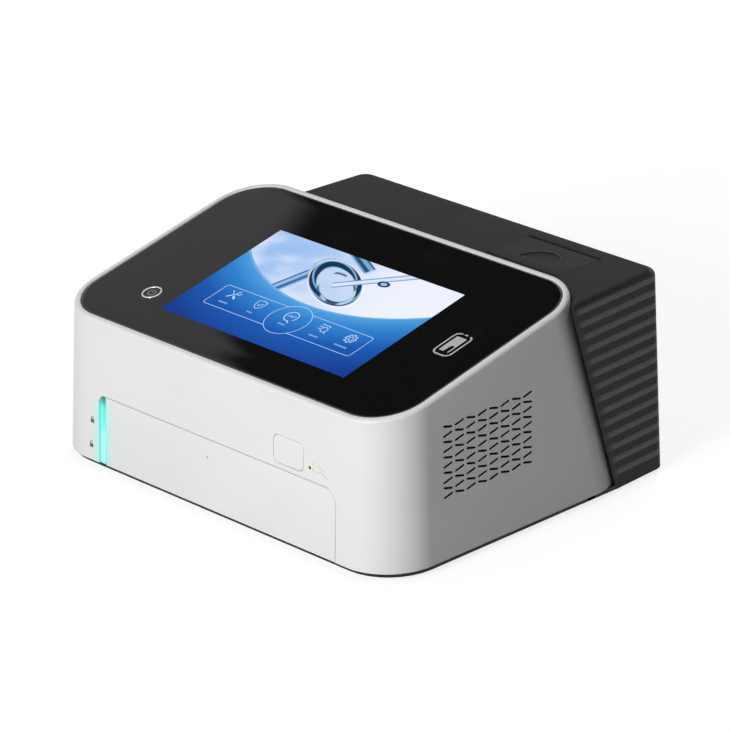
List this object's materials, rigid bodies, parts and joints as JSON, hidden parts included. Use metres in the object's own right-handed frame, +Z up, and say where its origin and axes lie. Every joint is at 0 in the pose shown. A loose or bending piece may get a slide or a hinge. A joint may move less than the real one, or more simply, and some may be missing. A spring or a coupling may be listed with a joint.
{
  "type": "benchtop immunoassay analyzer",
  "caption": "Benchtop immunoassay analyzer: white hood with sloping glass touch panel, push-to-open cartridge drawer, light strip, ribbed charcoal rear housing and receipt printer.",
  "frame": {"origin": "centre of the footprint on the bench plane, under the rubber feet", "axes": "+X to the right along the front seen by the user, +Y from the front towards the rear housing, +Z up"},
  "size_m": [0.324, 0.2504, 0.143],
  "materials": {
    "white_abs": "satin moulded ABS",
    "charcoal_abs": "fine textured ABS",
    "black_base": "matte moulded",
    "glass_black": "black-backed touch glass, polished",
    "polished_steel": "polished",
    "brushed_steel": "brushed sheet",
    "light_guide": "frosted light guide",
    "clear_pipe": "clear light pipe",
    "circuit_green": "solder resist",
    "grey_nylon": "moulded nylon",
    "black_nylon": "moulded nylon",
    "rubber": "moulded rubber",
    "aluminium": "satin anodised",
    "paper": "thermal paper, uncoated look"
  },
  "bodies": {
    "base": {"hood": "white_abs", "rear_housing": "charcoal_abs", "base_tray": "black_base", "foot_front_left": "rubber", "foot_front_right": "rubber", "foot_rear_left": "rubber", "foot_rear_right": "rubber", "glass_panel": "glass_black", "display_module": "brushed_steel", "tap_reader": "circuit_green", "power_ring": "polished_steel", "power_board": "circuit_green", "key_board": "circuit_green", "status_led": "clear_pipe", "light_strip": "light_guide", "strip_board": "circuit_green", "runner_left": "brushed_steel", "runner_right": "brushed_steel", "push_latch": "black_nylon", "scan_bracket_left": "aluminium", "scan_bracket_right": "aluminium", "guide_rod_front": "polished_steel", "guide_rod_rear": "polished_steel", "scan_motor": "black_nylon", "scan_belt": "rubber", "fan_frame": "black_nylon", "printer_bay": "black_nylon", "cover_pin": "polished_steel", "print_head": "aluminium", "tear_bar": "brushed_steel", "main_board": "circuit_green", "heat_sink": "aluminium", "usb_ports": "brushed_steel", "network_port": "brushed_steel", "serial_port": "brushed_steel", "power_inlet": "black_nylon", "switch_frame": "black_nylon", "power_supply": "circuit_green"},
    "drawer": {"drawer_front": "white_abs", "drawer_tray": "grey_nylon"},
    "reader_head": {"optical_head": "black_nylon"},
    "drive_wheel": {"drive_pulley": "aluminium"},
    "idler_wheel": {"idler_pulley": "aluminium"},
    "power_key": {"power_button": "black_nylon"},
    "eject_key": {"drawer_key": "white_abs"},
    "fan": {"fan_rotor": "black_nylon"},
    "cover": {"printer_cover": "charcoal_abs"},
    "platen": {"platen_roller": "rubber"},
    "paper": {"paper_roll": "paper"},
    "rocker": {"power_rocker": "black_nylon"}
  },
  "joints": [
    {"name": "drawer_slide", "type": "slide", "parent": "base", "child": "drawer", "axis": [0, -1, 0], "range_m": [-0.0015, 0.095]},
    {"name": "head_slide", "type": "slide", "parent": "base", "child": "reader_head", "axis": [1, 0, 0], "range_m": [0, 0.175]},
    {"name": "drive_turn", "type": "hinge", "parent": "base", "child": "drive_wheel", "pos_m": [0.1076, -0.04525, 0.0583], "axis": [0, 0, 1], "continuous": true},
    {"name": "idler_turn", "type": "hinge", "parent": "base", "child": "idler_wheel", "pos_m": [-0.0974, -0.04525, 0.0583], "axis": [0, 0, 1], "continuous": true},
    {"name": "power_press", "type": "slide", "parent": "base", "child": "power_key", "axis": [0, 0.2193, -0.9756], "range_m": [0, 0.0008], "stiffness_N_per_m": 600, "springref_m": -0.001},
    {"name": "eject_press", "type": "slide", "parent": "base", "child": "eject_key", "axis": [0, 0.9979, -0.065], "range_m": [0, 0.002], "stiffness_N_per_m": 400, "springref_m": -0.001},
    {"name": "fan_turn", "type": "hinge", "parent": "base", "child": "fan", "pos_m": [0.15661, -0.03415, 0.0692], "axis": [0.9993, 0, 0.0375], "continuous": true},
    {"name": "cover_hinge", "type": "hinge", "parent": "base", "child": "cover", "pos_m": [0.0859, 0.10575, 0.1337], "axis": [-1, 0, 0], "range_deg": [0, 62]},
    {"name": "platen_turn", "type": "hinge", "parent": "cover", "child": "platen", "pos_m": [0.0859, 0.07685, 0.1294], "axis": [1, 0, 0], "continuous": true},
    {"name": "paper_turn", "type": "hinge", "parent": "base", "child": "paper", "pos_m": [0.0859, 0.09265, 0.1112], "axis": [1, 0, 0], "continuous": true},
    {"name": "rocker_tilt", "type": "hinge", "parent": "base", "child": "rocker", "pos_m": [0.08, 0.11785, 0.034], "axis": [-1, 0, 0], "range_deg": [0, 16]}
  ],
  "couplings": [
    {"joint": "drive_turn", "follows": "head_slide", "rad_per_m": -156.25},
    {"joint": "idler_turn", "follows": "head_slide", "rad_per_m": -156.25}
  ]
}
